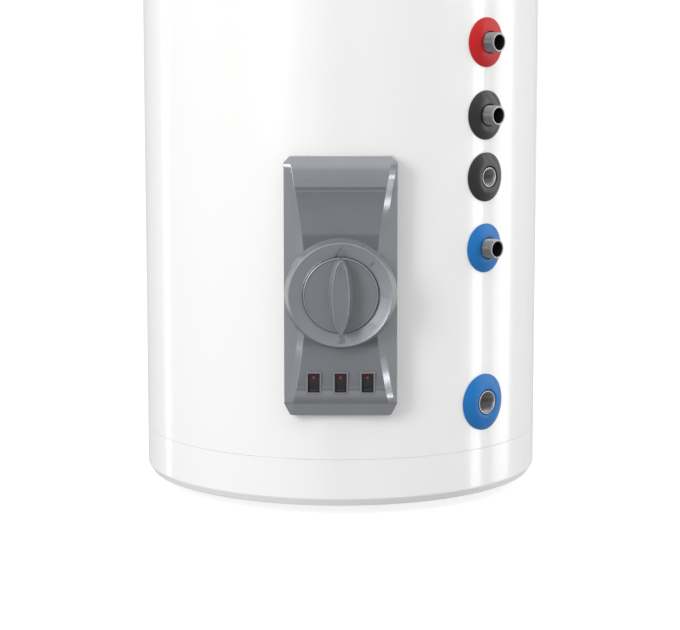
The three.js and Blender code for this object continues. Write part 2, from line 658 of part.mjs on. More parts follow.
// The bracket that the cover is screwed to from below, and its two screws.
function addCoverFixing() {
  const low = COVER.bottom + 7;
  const shelf = block([-60, BRACKET.back, low], [60, COVER.front - 3.5, low + BRACKET.thick]);
  const web = block([-60, CASING_R + 1.5, low], [60, BRACKET.back + 0.2, low + 16]);
  const holes = screwPlaces.map((x) => upright(SCREW.shank + GAP, low - 1, low + 3, x));
  piece('lower_bracket', cut(join(shelf, web), ...holes), FINISH.steel);

  const under = COVER.bottom + GAP;
  const [left, right] = screwPlaces.map((x) => join(
    upright(SCREW.head, under, under + SCREW.thick, x),
    upright(SCREW.shank, under + 1, under + SCREW.length, x, 10),
  ));
  piece('cover_screw_left', left, FINISH.steel);
  piece('cover_screw_right', right, FINISH.steel);
}

function addGland() {
  const front = CASING_R + GLAND.reach;
  piece('cable_gland', turnedForward([
    [GLAND.bore, CASING_R - 12], [GLAND.neck, CASING_R - 12], [GLAND.neck, CASING_R + GAP],
    [GLAND.r + 2, CASING_R + GAP], [GLAND.r + 2, CASING_R + 7], [GLAND.r, CASING_R + 8],
    [GLAND.r, front - 5], [GLAND.r - 4, front], [GLAND.bore, front], [GLAND.bore, CASING_R - 12],
  ], GLAND.z, 16), FINISH.blackPlastic).rotation.z = Math.PI;
}

addCasing();
addCaps();
addFeet();
addTank();
addInsulation();
addAnode();
addPorts();
addDipTubes();
addFlange();
addElements();
addThermostat();
addCover();
addDialRing();
addKnob();
switchCentres.forEach((x, i) => addSwitch(x, i + 1));
addElectrics();
addCoverFixing();
addGland();

export default heater;
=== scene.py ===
"""The looks of a floor-standing tank water heater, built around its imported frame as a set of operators."""

import json
import math

import bmesh
import bpy
from mathutils import Matrix, Vector


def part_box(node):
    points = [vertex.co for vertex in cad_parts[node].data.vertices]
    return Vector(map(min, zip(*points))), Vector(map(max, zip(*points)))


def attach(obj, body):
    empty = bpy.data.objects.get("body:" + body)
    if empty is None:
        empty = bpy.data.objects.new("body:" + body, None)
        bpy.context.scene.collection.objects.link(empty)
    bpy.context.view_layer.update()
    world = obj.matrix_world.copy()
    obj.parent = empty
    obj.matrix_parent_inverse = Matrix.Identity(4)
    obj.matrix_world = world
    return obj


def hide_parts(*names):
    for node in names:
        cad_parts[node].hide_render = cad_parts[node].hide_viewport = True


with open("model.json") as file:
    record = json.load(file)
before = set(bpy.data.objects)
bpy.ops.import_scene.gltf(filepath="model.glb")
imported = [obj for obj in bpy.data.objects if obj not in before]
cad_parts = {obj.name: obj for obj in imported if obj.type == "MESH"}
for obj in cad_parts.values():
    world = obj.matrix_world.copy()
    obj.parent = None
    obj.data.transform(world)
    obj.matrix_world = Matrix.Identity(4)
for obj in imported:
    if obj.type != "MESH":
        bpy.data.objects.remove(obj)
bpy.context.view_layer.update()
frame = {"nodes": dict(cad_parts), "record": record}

bl_info = {
    "name": "Tank Water Heater",
    "version": (1, 0, 0),
    "blender": (4, 5, 0),
    "location": "View3D > Sidebar > Heater",
    "description": "Builds the casing, control cover, knob, switches and pipe ports of a tank water heater",
    "category": "Object",
}

MM = 0.001
MERGE = 1e-6  # points nearer than this are one
ROUND_STEPS = 192  # sides of the casing and its caps
SMALL_STEPS = 96  # sides of pipes and rosettes
KNOB_STEPS = 144
DIAL_STEPS = 160


# ---- Places read from the frame --------------------------------------------------------------------
def middle(node):
    """The middle of a CAD node's box."""
    low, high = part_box(node)
    return (low + high) / 2


CASING_LOW, CASING_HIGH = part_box("outer_casing")
CASING_R = (CASING_HIGH.x - CASING_LOW.x) / 2
AXIS_Y = (CASING_LOW.y + CASING_HIGH.y) / 2
COVER_LOW, COVER_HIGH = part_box("control_cover")
DIAL_Z = middle("dial_ring").z
SWITCH_Z = middle("switch_housing_1").z
SWITCH_X = [middle(f"switch_housing_{i}").x for i in (1, 2, 3)]
PORT_ANGLE = math.radians(44)
HEATER = "heater"


def forward(x, out, z):
    """A point in front of the tank axis: x to the right, out towards -Y, z up, all in metres."""
    return Vector((x, AXIS_Y - out, z))


def port_frame(z):
    """Turns (across, up, out) of a port at a height into the row frame."""
    turn = Matrix.Rotation(PORT_ANGLE, 4, "Z")
    axes = Matrix(((1, 0, 0, 0), (0, 0, -1, 0), (0, 1, 0, z), (0, 0, 0, 1)))
    return Matrix.Translation((0, AXIS_Y, 0)) @ turn @ axes


def front_frame(x, z):
    """Turns (across, up, out) on the front into the row frame."""
    axes = Matrix(((1, 0, 0, x), (0, 0, -1, 0), (0, 1, 0, z), (0, 0, 0, 1)))
    return Matrix.Translation((0, AXIS_Y, 0)) @ axes


def mm(*points):
    """Points given in millimetres, in metres."""
    return [tuple(part * MM for part in point) for point in points]


def upright_frame():
    """Stands a turned piece upright on the tank's axis."""
    return Matrix.Translation((0, AXIS_Y, 0))


# ---- Shader helpers --------------------------------------------------------------------------------
class Value:
    """A number from a node, which can be used in sums."""

    def __init__(self, tree, socket):
        self.tree = tree
        self.socket = socket

    def _sum(self, operation, first, second):
        node = self.tree.nodes.new("ShaderNodeMath")
        node.operation = operation
        for place, term in zip(node.inputs, (first, second)):
            if isinstance(term, Value):
                self.tree.links.new(term.socket, place)
            else:
                place.default_value = term
        return Value(self.tree, node.outputs[0])

    def __add__(self, other):
        return self._sum("ADD", self, other)

    def __sub__(self, other):
        return self._sum("SUBTRACT", self, other)

    def __rsub__(self, other):
        return self._sum("SUBTRACT", other, self)

    def __mul__(self, other):
        return self._sum("MULTIPLY", self, other)

    __radd__ = __add__
    __rmul__ = __mul__


class Nodes:
    """Adds nodes to a node tree."""

    def __init__(self, tree):
        self.tree = tree

    def node(self, kind, settings=None, values=None, output=0):
        """A node with its settings, then the values or links of its sockets. Gives back one output."""
        made = self.tree.nodes.new(kind)
        for key, value in (settings or {}).items():
            setattr(made, key, value)
        for key, value in (values or {}).items():
            if isinstance(value, Value):
                self.tree.links.new(value.socket, made.inputs[key])
            else:
                made.inputs[key].default_value = value
        return Value(self.tree, made.outputs[output])


class Finish(Nodes):
    """A material with a Principled shader whose constants sit on its own sockets."""

    def __init__(self, name, **constants):
        self.material = bpy.data.materials.new("finish_" + name)
        self.material.use_nodes = True
        super().__init__(self.material.node_tree)
        self.shader = self.tree.nodes["Principled BSDF"]
        for key, value in constants.items():
            socket = key.replace("_", " ").title().replace("Ior", "IOR")
            self.shader.inputs[socket].default_value = value
        self.place = self.node("ShaderNodeTexCoord", output="Object")

    def drive(self, socket, value):
        """Links a value to a socket of the shader."""
        self.tree.links.new(value.socket, self.shader.inputs[socket])

    def noise(self, scale, detail=2.0, roughness=0.5, stretch=None):
        """Soft noise over the surface, from 0 to 1."""
        place = self.place
        if stretch:
            place = self.node("ShaderNodeMapping", values={"Vector": place, "Scale": stretch})
        return self.node("ShaderNodeTexNoise", values={
            "Vector": place, "Scale": scale, "Detail": detail, "Roughness": roughness,
        })

    def blend(self, amount, first, second):
        """A colour between two colours."""
        return self.node("ShaderNodeMix", {"data_type": "RGBA"}, {
            0: amount, 6: (*first, 1.0), 7: (*second, 1.0),
        }, output=2)

    def bump(self, height, distance):
        """Relief from a height between 0 and 1 and a depth in metres."""
        self.drive("Normal", self.node("ShaderNodeBump", values={
            "Height": height, "Distance": distance, "Strength": 1.0,
        }))


def shade(color, factor):
    """A colour made lighter or darker."""
    return tuple(min(1.0, part * factor) for part in color[:3])


def enamel_finish(color):
    """Glossy white stove enamel with a faint orange peel."""
    finish = Finish("white_enamel", coat_weight=0.35, coat_roughness=0.06, ior=1.5)
    cloud = finish.noise(2.2, 3.0)
    finish.drive("Base Color", finish.blend(cloud, shade(color, 0.985), shade(color, 1.01)))
    finish.drive("Roughness", 0.17 + finish.noise(9.0) * 0.1)
    peel = finish.noise(260.0, 1.0)
    finish.bump(peel, 0.00001)
    return finish.material


def plastic_finish(name, color, roughness, grain, coat, specular, metallic=0.0):
    """Moulded plastic with a fine sparked grain and faint flow clouds. grain is in micrometres."""
    finish = Finish(name, coat_weight=coat, coat_roughness=0.17, ior=1.49, specular_ior_level=specular,
                    metallic=metallic)
    cloud = finish.noise(28.0, 3.0)
    finish.drive("Base Color", finish.blend(cloud, shade(color, 0.94), shade(color, 1.05)))
    fine = finish.noise(2600.0, 2.0)
    finish.drive("Roughness", roughness - 0.04 + finish.noise(70.0) * 0.04 + fine * 0.03)
    finish.bump(fine, grain * MM * MM)
    return finish.material


def lens_finish(color):
    """Clear red indicator lens with a moulded diffuser behind it."""
    finish = Finish("red_lens", roughness=0.22, coat_weight=0.15, coat_roughness=0.1,
                    emission_strength=0.22)
    cells = finish.node("ShaderNodeTexVoronoi", values={"Vector": finish.place, "Scale": 2200.0})
    finish.drive("Base Color", finish.blend(cells, shade(color, 1.1), shade(color, 0.7)))
    finish.drive("Emission Color", finish.blend(cells, shade(color, 0.9), shade(color, 0.5)))
    finish.bump(cells, 0.00005)
    return finish.material


def metal_finish(name, color, roughness, scratch=600.0, stretch=(1.0, 1.0, 14.0), stain=0.88):
    """Machined or drawn metal: fine tool lines, patches of duller surface and faint stains."""
    finish = Finish(name, metallic=1.0)
    lines = finish.noise(scratch, 3.0, 0.6, stretch)
    patch = finish.noise(45.0, 4.0, 0.6)
    finish.drive("Base Color", finish.blend(patch, shade(color, stain), shade(color, 1.06)))
    finish.drive("Roughness", roughness - 0.08 + patch * 0.1 + lines * 0.12)
    finish.bump(lines, 0.00003)
    return finish.material


def lining_finish(color):
    """Dark vitreous enamel on the tank, slightly wavy."""
    finish = Finish("glass_lining", roughness=0.2, coat_weight=0.7, coat_roughness=0.08)
    wave = finish.noise(14.0, 4.0)
    finish.drive("Base Color", finish.blend(wave, shade(color, 0.8), shade(color, 1.2)))
    finish.bump(finish.noise(90.0, 3.0), 0.0002)
    return finish.material


def foam_finish(color):
    """Cut polyurethane foam with open cells."""
    finish = Finish("foam", roughness=0.95)
    cells = finish.node("ShaderNodeTexVoronoi", values={"Vector": finish.place, "Scale": 420.0})
    finish.drive("Base Color", finish.blend(cells, shade(color, 0.86), shade(color, 1.06)))
    finish.bump(cells, 0.0006)
    return finish.material


def rubber_finish(color):
    """Matt black rubber with a dusty bloom."""
    finish = Finish("rubber", ior=1.45)
    bloom = finish.noise(36.0, 4.0)
    finish.drive("Base Color", finish.blend(bloom, shade(color, 0.8), shade(color, 1.7)))
    finish.drive("Roughness", 0.68 + bloom * 0.2)
    finish.bump(finish.noise(900.0, 3.0), 0.0001)
    return finish.material


def floor_finish(color):
    """Pale seamless studio floor."""
    finish = Finish("studio_floor", roughness=0.75, emission_strength=0.62)
    finish.shader.inputs["Emission Color"].default_value = (1, 1, 1, 1)
    cloud = finish.noise(1.1, 4.0)
    finish.drive("Base Color", finish.blend(cloud, shade(color, 0.99), shade(color, 1.0)))
    return finish.material


# ---- Mesh helpers ----------------------------------------------------------------------------------
def mesh_from(name, points, faces, place=None):
    """A clean mesh: doubles merged, no empty faces, faces turned outwards."""
    shape = bmesh.new()
    place = place or Matrix.Identity(4)
    corners = [shape.verts.new(place @ Vector(point)) for point in points]
    for face in faces:
        if len(set(face)) > 2:
            shape.faces.new([corners[i] for i in dict.fromkeys(face)])
    bmesh.ops.remove_doubles(shape, verts=shape.verts, dist=MERGE)
    bmesh.ops.dissolve_degenerate(shape, edges=shape.edges, dist=MERGE)
    bmesh.ops.recalc_face_normals(shape, faces=shape.faces)
    mesh = bpy.data.meshes.new(name)
    shape.to_mesh(mesh)
    shape.free()
    return mesh


def grid(rows, wrap_rows=False, wrap_columns=False):
    """Points and four-sided faces of rows that all have the same number of points."""
    columns = len(rows[0])
    points = [point for row in rows for point in row]
    faces = []
    for i in range(len(rows) - (0 if wrap_rows else 1)):
        here, after = i * columns, (i + 1) % len(rows) * columns
        for j in range(columns - (0 if wrap_columns else 1)):
            k = (j + 1) % columns
            faces.append((here + j, here + k, after + k, after + j))
    return points, faces


def turned(name, outline, place, steps=SMALL_STEPS, closed=False):
    """A body of revolution: outline is (radius, height), from axis to axis or closed on itself."""
    rows = []
    for i in range(steps):
        angle = 2 * math.pi * i / steps
        rows.append([(r * math.cos(angle), r * math.sin(angle), h) for r, h in outline])
    points, faces = grid(rows, wrap_rows=True, wrap_columns=closed)
    return mesh_from(name, points, faces, place)


def rounded(points, radius, closed=False, steps=4):
    """The outline with its corners rounded. radius is one number, or one for each corner."""
    count = len(points)
    radii = radius if isinstance(radius, (list, tuple)) else [radius] * count
    result = []
    for i, corner in enumerate(points):
        if not closed and i in (0, count - 1):
            result.append(tuple(corner))
            continue
        here = Vector(corner)
        before, after = Vector(points[i - 1]) - here, Vector(points[(i + 1) % count]) - here
        room = 0.48 * min(before.length, after.length)
        if radii[i] <= 0 or room < 1e-9:
            result.extend([tuple(corner)] * (steps + 1))
            continue
        angle = before.angle(after)
        trim = min(radii[i] / max(math.tan(angle / 2), 1e-6), room)
        start, end = here + before.normalized() * trim, here + after.normalized() * trim
        for k in range(steps + 1):
            t = k / steps
            result.append(tuple(start * (1 - t) ** 2 + here * (2 * t * (1 - t)) + end * t ** 2))
    return result


def curve_points(ends, steps):
    """Points of a cubic curve from its two ends and two handles."""
    a, b, c, d = (Vector(end) for end in ends)
    points = []
    for k in range(steps + 1):
        t = k / steps
        points.append(a * (1 - t) ** 3 + b * (3 * t * (1 - t) ** 2)
                      + c * (3 * t * t * (1 - t)) + d * t ** 3)
    return points


def stacked(name, rows, place):
    """A closed body from a stack of rings that all have the same number of points."""
    points, faces = grid(rows, wrap_columns=True)
    count = len(rows[0])
    faces += [tuple(reversed(range(count))), tuple(range(len(points) - count, len(points)))]
    return mesh_from(name, points, faces, place)


def prism(name, outline, low, high, place):
    """A closed outline in (across, up), raised from low to high along out."""
    return stacked(name, [[(x, y, out) for x, y in outline] for out in (low, high)], place)


def rod(radius, low, high, place, steps=24):
    """A round rod along out, for pins and for cutting holes."""
    return turned("rod", [(0, low), (radius, low), (radius, high), (0, high)], place, steps)


def rectangle(half_width, half_height, x=0.0, y=0.0):
    """A rectangle as four corners."""
    return [
        (x - half_width, y - half_height), (x + half_width, y - half_height),
        (x + half_width, y + half_height), (x - half_width, y + half_height),
    ]


def loose(mesh):
    """A scratch object for a mesh."""
    scratch = bpy.data.objects.new(mesh.name, mesh)
    bpy.context.scene.collection.objects.link(scratch)
    return scratch


def applied(scratch):
    """The mesh of a scratch object with its modifiers applied. The object is removed."""
    bpy.context.view_layer.update()
    depsgraph = bpy.context.evaluated_depsgraph_get()
    mesh = bpy.data.meshes.new_from_object(scratch.evaluated_get(depsgraph))
    mesh.name = scratch.name
    bpy.data.objects.remove(scratch)
    return mesh


def combined(mesh, tools, operation="DIFFERENCE"):
    """The mesh cut by, or joined with, other closed meshes."""
    base = loose(mesh)
    helpers = [loose(tool) for tool in tools]
    for helper in helpers:
        modifier = base.modifiers.new("shape", "BOOLEAN")
        modifier.operation = operation
        modifier.solver = "EXACT"
        modifier.object = helper
    result = applied(base)
    for helper in helpers:
        bpy.data.objects.remove(helper)
    return result


def piece(name, mesh, body, slot, node, finish=None, sharp=32.0):
    """Adds a finished piece that rides on a body and stands for a CAD node. finish is the slot's own."""
    shape = bmesh.new()
    shape.from_mesh(mesh)
    limit = math.radians(sharp)
    for face in shape.faces:
        face.smooth = True
    for edge in shape.edges:
        edge.smooth = len(edge.link_faces) == 2 and edge.calc_face_angle(0.0) < limit
    shape.to_mesh(mesh)
    shape.free()
    mesh.materials.clear()
    mesh.materials.append(material(finish or slot))
    made = bpy.data.objects.new(name, mesh)
    bpy.context.scene.collection.objects.link(made)
    weighted = made.modifiers.new("even_shading", "WEIGHTED_NORMAL")
    weighted.keep_sharp = True
    weighted.weight = 50
    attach(made, body)
    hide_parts(node)
    return made


def material(name):
    """A finish made once and shared."""
    found = bpy.data.materials.get("finish_" + name)
    if found:
        return found
    colors = bpy.context.scene.heater_colors
    sheet = shade(colors.steel, 1.05)
    makers = {
        "white_enamel": lambda: enamel_finish(colors.enamel),
        "grey_plastic": lambda: plastic_finish(name, colors.cover, 0.22, 3, 0.8, 0.9, 0.5),
        "knob_plastic": lambda: plastic_finish(name, colors.cover, 0.32, 4, 0.5, 0.8, 0.45),
        "dial_plastic": lambda: plastic_finish(name, colors.cover, 0.4, 5, 0.3, 0.8, 0.45),
        "red_plastic": lambda: plastic_finish(name, colors.hot, 0.4, 6, 0.0, 0.26),
        "blue_plastic": lambda: plastic_finish(name, colors.cold, 0.4, 6, 0.0, 0.26),
        "black_plastic": lambda: plastic_finish(name, colors.black, 0.36, 10, 0.1, 0.4),
        "red_lens": lambda: lens_finish(colors.lens),
        "port_steel": lambda: metal_finish(name, colors.steel, 0.34),
        "sheet_steel": lambda: metal_finish(name, sheet, 0.42, 200.0, (1, 1, 1), 0.8),
        "glass_lining": lambda: lining_finish(colors.lining),
        "foam": lambda: foam_finish(colors.foam),
        "rubber": lambda: rubber_finish(colors.rubber),
        "copper": lambda: metal_finish(name, colors.copper, 0.36, 300.0, (1, 1, 6), 0.7),
        "magnesium": lambda: metal_finish(name, colors.magnesium, 0.6, 160.0, (1, 1, 1), 0.8),
        "studio_floor": lambda: floor_finish(colors.floor),
    }
    return makers[name]()


# ---- What a user would change ----------------------------------------------------------------------
def color_property(name, description, default):
    """A colour setting."""
    return bpy.props.FloatVectorProperty(
        name=name, description=description, default=default, size=3, min=0.0, max=1.0, subtype="COLOR",
    )


def length_property(name, description, default):
    """A length setting in metres."""
    return bpy.props.FloatProperty(name=name, description=description, default=default, unit="LENGTH")


class HeaterColors(bpy.types.PropertyGroup):
    """Colours of the heater's finishes."""

    enamel: color_property("Enamel", "Casing and caps", (0.81, 0.81, 0.805))
    cover: color_property("Cover", "Control cover, dial and knob", (0.245, 0.254, 0.278))
    hot: color_property("Hot", "Hot water rosette", (0.5, 0.01, 0.012))
    cold: color_property("Cold", "Cold water and drain rosettes", (0.008, 0.15, 0.44))
    black: color_property("Black", "Black rosettes, rockers and small housings", (0.016, 0.016, 0.017))
    lens: color_property("Lens", "Switch indicators", (0.42, 0.002, 0.002))
    steel: color_property("Steel", "Pipe ends and plated steel", (0.31, 0.315, 0.32))
    copper: color_property("Copper", "Heating elements and dip tubes", (0.72, 0.38, 0.25))
    magnesium: color_property("Magnesium", "Anode rod", (0.6, 0.61, 0.62))
    lining: color_property("Lining", "Vitreous enamel of the tank", (0.02, 0.07, 0.15))
    foam: color_property("Foam", "Insulation", (0.78, 0.66, 0.36))
    rubber: color_property("Rubber", "Feet and gasket", (0.02, 0.02, 0.02))
    floor: color_property("Floor", "Studio floor", (0.62, 0.62, 0.62))


class HeaterSizes(bpy.types.PropertyGroup):
    """Sizes of the details that the frame leaves open."""

    seam_gap: length_property("Seam gap", "Groove between casing and caps", 0.0002)
    chamfer_height: length_property("Chamfer height", "Height of the caps' edge", 0.0105)
    chamfer_depth: length_property("Chamfer depth", "How far the caps' edge goes in", 0.0065)
    cover_wall: length_property("Cover wall", "Wall of the control cover", 0.0025)
    thread_pitch: length_property("Thread pitch", "Pitch of the port threads", 0.001814)
    thread_depth: length_property("Thread depth", "Depth of the port threads", 0.0012)
    camera_distance: length_property("Camera distance", "Camera to tank axis", 3.044)
    camera_height: length_property("Camera height", "Camera above the floor", 0.680)
    camera_tilt: bpy.props.FloatProperty(
        name="Camera tilt", description="How far the camera looks down", default=math.radians(7.476),
        subtype="ANGLE",
    )


# ---- Casing and caps -------------------------------------------------------------------------------
SHEET = 1.5 * MM  # thickness of the casing
CAP_INNER = CASING_R - 2 * MM
JOGGLE = CASING_R - SHEET - 0.4 * MM  # outside of the caps' collars
COLLAR = JOGGLE - 1.2 * MM  # inside of the caps' collars
LAP = 6 * MM  # how far the collars reach into the casing


class HEATER_OT_casing(bpy.types.Operator):
    """Build the enamelled casing with its port holes, and both caps"""

    bl_idname = "heater.casing"
    bl_label = "Casing and caps"

    def execute(self, context):
        sizes = context.scene.heater_sizes
        edge = CASING_R - sizes.chamfer_depth
        self.shell()
        self.bottom_cap(edge, sizes.chamfer_height, sizes.seam_gap)
        self.top_cap(edge, sizes.chamfer_height, sizes.seam_gap)
        return {"FINISHED"}

    def shell(self):
        """The casing, cut for the ports, the heating flange and the cable gland."""
        low, high, inner = CASING_LOW.z, CASING_HIGH.z, CASING_R - SHEET
        outline = rounded([
            (inner, low), (CASING_R, low), (CASING_R, high), (inner, high),
        ], [0.2 * MM, 0.45 * MM, 0.45 * MM, 0.2 * MM], closed=True)
        shell = turned("outer_casing_shell", outline, upright_frame(), ROUND_STEPS, closed=True)
        holes = [
            rod(facts["r"] + 1.5 * MM, 0.25, 0.3, port_frame(facts["z"]), 48) for facts in PORTS.values()
        ]
        holes.append(prism("window", rectangle(68.5 * MM, 72 * MM), 0.2, CASING_R + 5 * MM,
                           front_frame(0.0, middle("element_flange").z)))
        holes.append(rod(8 * MM, -0.3, -0.25, front_frame(0.0, middle("cable_gland").z), 32))
        piece("outer_casing_shell", combined(shell, holes), HEATER, "white_enamel", "outer_casing")

    def bottom_cap(self, edge, chamfer, gap):
        """The lower cap: a floor with a chamfered edge and a collar inside the casing."""
        low, base = CASING_LOW.z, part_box("bottom_cap")[0].z
        bend, rim = base + chamfer, low - gap
        radii = [0, 3, 5, 0.5, 0.3, 0.3, 0.3, 0.5, 0.5, 3, 2, 0]
        outline = rounded([
            (0, base), (edge, base), (CASING_R, bend), (CASING_R, rim), (JOGGLE, rim), (JOGGLE, low + LAP),
            (COLLAR, low + LAP), (COLLAR, rim - 2 * MM), (CAP_INNER, rim - 3 * MM),
            (CAP_INNER, bend + MM), (edge - MM, base + 2 * MM), (0, base + 2 * MM),
        ], [radius * MM for radius in radii], steps=6)
        mesh = turned("bottom_cap_shell", outline, upright_frame(), ROUND_STEPS)
        piece("bottom_cap_shell", mesh, HEATER, "white_enamel", "bottom_cap")

    def top_cap(self, edge, chamfer, gap):
        """The upper cap, with a round mouth for its plug."""
        high, top, mouth = CASING_HIGH.z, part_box("top_cap")[1].z, 30 * MM
        bend, rim = top - chamfer, high + gap
        radii = [0.3, 0.3, 0.3, 0.5, 5, 3, 0.5, 0.3, 2, 3, 0.5, 0.5]
        outline = rounded([
            (COLLAR, high - LAP), (JOGGLE, high - LAP), (JOGGLE, rim), (CASING_R, rim), (CASING_R, bend),
            (edge, top), (mouth, top), (mouth, top - 2 * MM), (edge - MM, top - 2 * MM),
            (CAP_INNER, bend - MM), (CAP_INNER, rim + 3 * MM), (COLLAR, rim + 2 * MM),
        ], [radius * MM for radius in radii], closed=True, steps=6)
        mesh = turned("top_cap_shell", outline, upright_frame(), ROUND_STEPS, closed=True)
        piece("top_cap_shell", mesh, HEATER, "white_enamel", "top_cap")


# ---- Ports -----------------------------------------------------------------------------------------
def port(node, rosette, r, bore, slot, male=True):
    """Facts of one port: its height, radii in metres and the colour slot of its rosette."""
    low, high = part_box(rosette)
    return {
        "node": node, "rosette": rosette, "z": middle(node).z, "r": r * MM, "bore": bore * MM,
        "slot": slot, "male": male, "rosette_r": (high.z - low.z) / 2,
    }


PORTS = {
    "hot": port("hot_outlet_pipe", "hot_rosette", 13.2, 10.25, "red_plastic"),
    "recirculation": port("recirculation_pipe", "recirculation_rosette", 13.2, 10.25, "black_plastic"),
    "sensor": port("sensor_socket", "sensor_rosette", 13.5, 10.25, "black_plastic", False),
    "cold": port("cold_inlet_pipe", "cold_rosette", 13.2, 10.25, "blue_plastic"),
    "drain": port("drain_socket", "drain_rosette", 16.5, 13.25, "blue_plastic", False),
}
PIPE_START = 235.5 * MM
PIPE_END = 303 * MM
SOCKET_END = 287 * MM


def threaded_skin(radius, start, end, pitch, depth, run_out, inward):
    """Rows of a helical thread on a radius, from start to end, fading in over run_out at the start."""
    per_turn = 8
    count = int((end - start) / pitch * per_turn)
    rows = []
    for i in range(count + 1):
        along = start + (end - start) * i / count
        fade = min(1.0, (along - start) / run_out, (end - along) / pitch + 0.35)
        row = []
        for j in range(SMALL_STEPS):
            turn = j / SMALL_STEPS
            phase = ((along - start) / pitch - turn) % 1.0
            ridge = 1 - abs(2 * phase - 1)
            ridge = min(1.0, max(0.0, ridge * 1.3 - 0.15))
            groove = depth * (1 - ridge) * fade
            r = radius + groove if inward else radius - groove
            row.append((r * math.cos(2 * math.pi * turn), r * math.sin(2 * math.pi * turn), along))
        rows.append(row)
    return rows


def rings(*outline):
    """Rows of a turned skin, one for each (radius, height)."""
    turns = [2 * math.pi * j / SMALL_STEPS for j in range(SMALL_STEPS)]
    return [[(r * math.cos(turn), r * math.sin(turn), height) for turn in turns] for r, height in outline]


class HEATER_OT_ports(bpy.types.Operator):
    """Build the threaded pipe ends and sockets"""

    bl_idname = "heater.ports"
    bl_label = "Pipe ports"

    def execute(self, context):
        sizes = context.scene.heater_sizes
        pitch, depth = sizes.thread_pitch, sizes.thread_depth
        for facts in PORTS.values():
            rows = (self.pipe if facts["male"] else self.socket)(facts["r"], facts["bore"], pitch, depth)
            points, faces = grid(rows, wrap_rows=True, wrap_columns=True)
            mesh = mesh_from(facts["node"], points, faces, port_frame(facts["z"]))
            piece(facts["node"] + "_threaded", mesh, HEATER, "port_steel", facts["node"], sharp=50.0)
        return {"FINISHED"}

    def pipe(self, r, bore, pitch, depth):
        """The skin of a pipe end with an outside thread."""
        start = rings((bore, PIPE_START), (r, PIPE_START), (r, CASING_R))
        thread = threaded_skin(r, CASING_R + MM, PIPE_END - 0.9 * MM, pitch, depth, 3 * MM, False)
        end = rings((r - 0.9 * depth, PIPE_END - 0.3 * MM), (r - depth - 0.1 * MM, PIPE_END),
                    (bore + 0.5 * MM, PIPE_END), (bore, PIPE_END - 0.5 * MM))
        return start + thread + end

    def socket(self, r, bore, pitch, depth):
        """The skin of a socket with an inside thread."""
        outside = rings((bore + depth, PIPE_START), (r, PIPE_START), (r, SOCKET_END - 0.6 * MM),
                        (r - 0.5 * MM, SOCKET_END), (bore + depth + 0.3 * MM, SOCKET_END),
                        (bore + depth, SOCKET_END - MM))
        thread = threaded_skin(bore, PIPE_START + 14 * MM, SOCKET_END - 1.5 * MM, pitch, depth, 4 * MM, True)
        return outside + thread[::-1]


class HEATER_OT_rosettes(bpy.types.Operator):
    """Build the domed rosettes that fit the casing's curve"""

    bl_idname = "heater.rosettes"
    bl_label = "Rosettes"

    def execute(self, context):
        for facts in PORTS.values():
            r, hole = facts["rosette_r"], facts["r"] + 0.8 * MM
            outline = self.outline(r, hole)
            rows = []
            for j in range(SMALL_STEPS):
                angle = 2 * math.pi * j / SMALL_STEPS
                row = []
                for radius, out in outline:
                    across = radius * math.cos(angle)
                    settle = max(0.0, min(1.0, (radius - hole) / (r - hole))) ** 1.5
                    sag = CASING_R - math.sqrt(CASING_R ** 2 - across ** 2)
                    row.append((across, radius * math.sin(angle), CASING_R + out - sag * settle))
                rows.append(row)
            points, faces = grid(rows, wrap_rows=True, wrap_columns=True)
            mesh = mesh_from(facts["rosette"], points, faces, port_frame(facts["z"]))
            piece(facts["rosette"] + "_dome", mesh, HEATER, facts["slot"], facts["rosette"], sharp=45.0)
        return {"FINISHED"}

    def outline(self, r, hole):
        """A rosette's section, as (radius, height above the casing)."""
        height, rim, skin = 7.5 * MM, 1.3 * MM, 1.8 * MM
        dome = curve_points([
            (r - 0.8 * MM, rim + 0.5 * MM), (r * 0.82, 0.62 * height), (r * 0.68, height),
            (hole + 2.2 * MM, height),
        ], 18)
        lip = [(hole + 0.9 * MM, height - 0.15 * MM), (hole + 0.2 * MM, height - 0.9 * MM),
               (hole, height - 2 * MM), (hole, height - 3.4 * MM)]
        under = [(hole + skin, height - 3.4 * MM), (hole + 2.2 * MM, height - skin - 0.5 * MM),
                 (r * 0.68, height - skin - 0.4 * MM), (r * 0.86, 0.4 * height),
                 (r - skin - MM, 0.25 * MM)]
        return [(r, 0.25 * MM), (r, rim), *(tuple(point) for point in dome), *lip, *under]


# ---- Control cover ---------------------------------------------------------------------------------
COVER_HALF = (COVER_HIGH.x - COVER_LOW.x) / 2
COVER_BOTTOM, COVER_TOP = COVER_LOW.z, COVER_HIGH.z
WAIST_Z = COVER_BOTTOM + 158.5 * MM
COVER_CORNER = 8 * MM
SHOULDER = 294 * MM  # distance of the shoulders from the tank axis
BAND = 8.6 * MM  # width of the slope between the raised face and a shoulder
WAIST_HALF, FLARE = 45, 20  # half-width of the raised face at its waist, and its growth, millimetres


def crest_half(z):
    """Half-width of the raised face at a height: an hourglass."""
    reach = (COVER_TOP - 11.4 * MM - WAIST_Z) if z > WAIST_Z else (WAIST_Z - COVER_BOTTOM - 7 * MM)
    return (WAIST_HALF + FLARE * (abs(z - WAIST_Z) / reach) ** 1.7) * MM


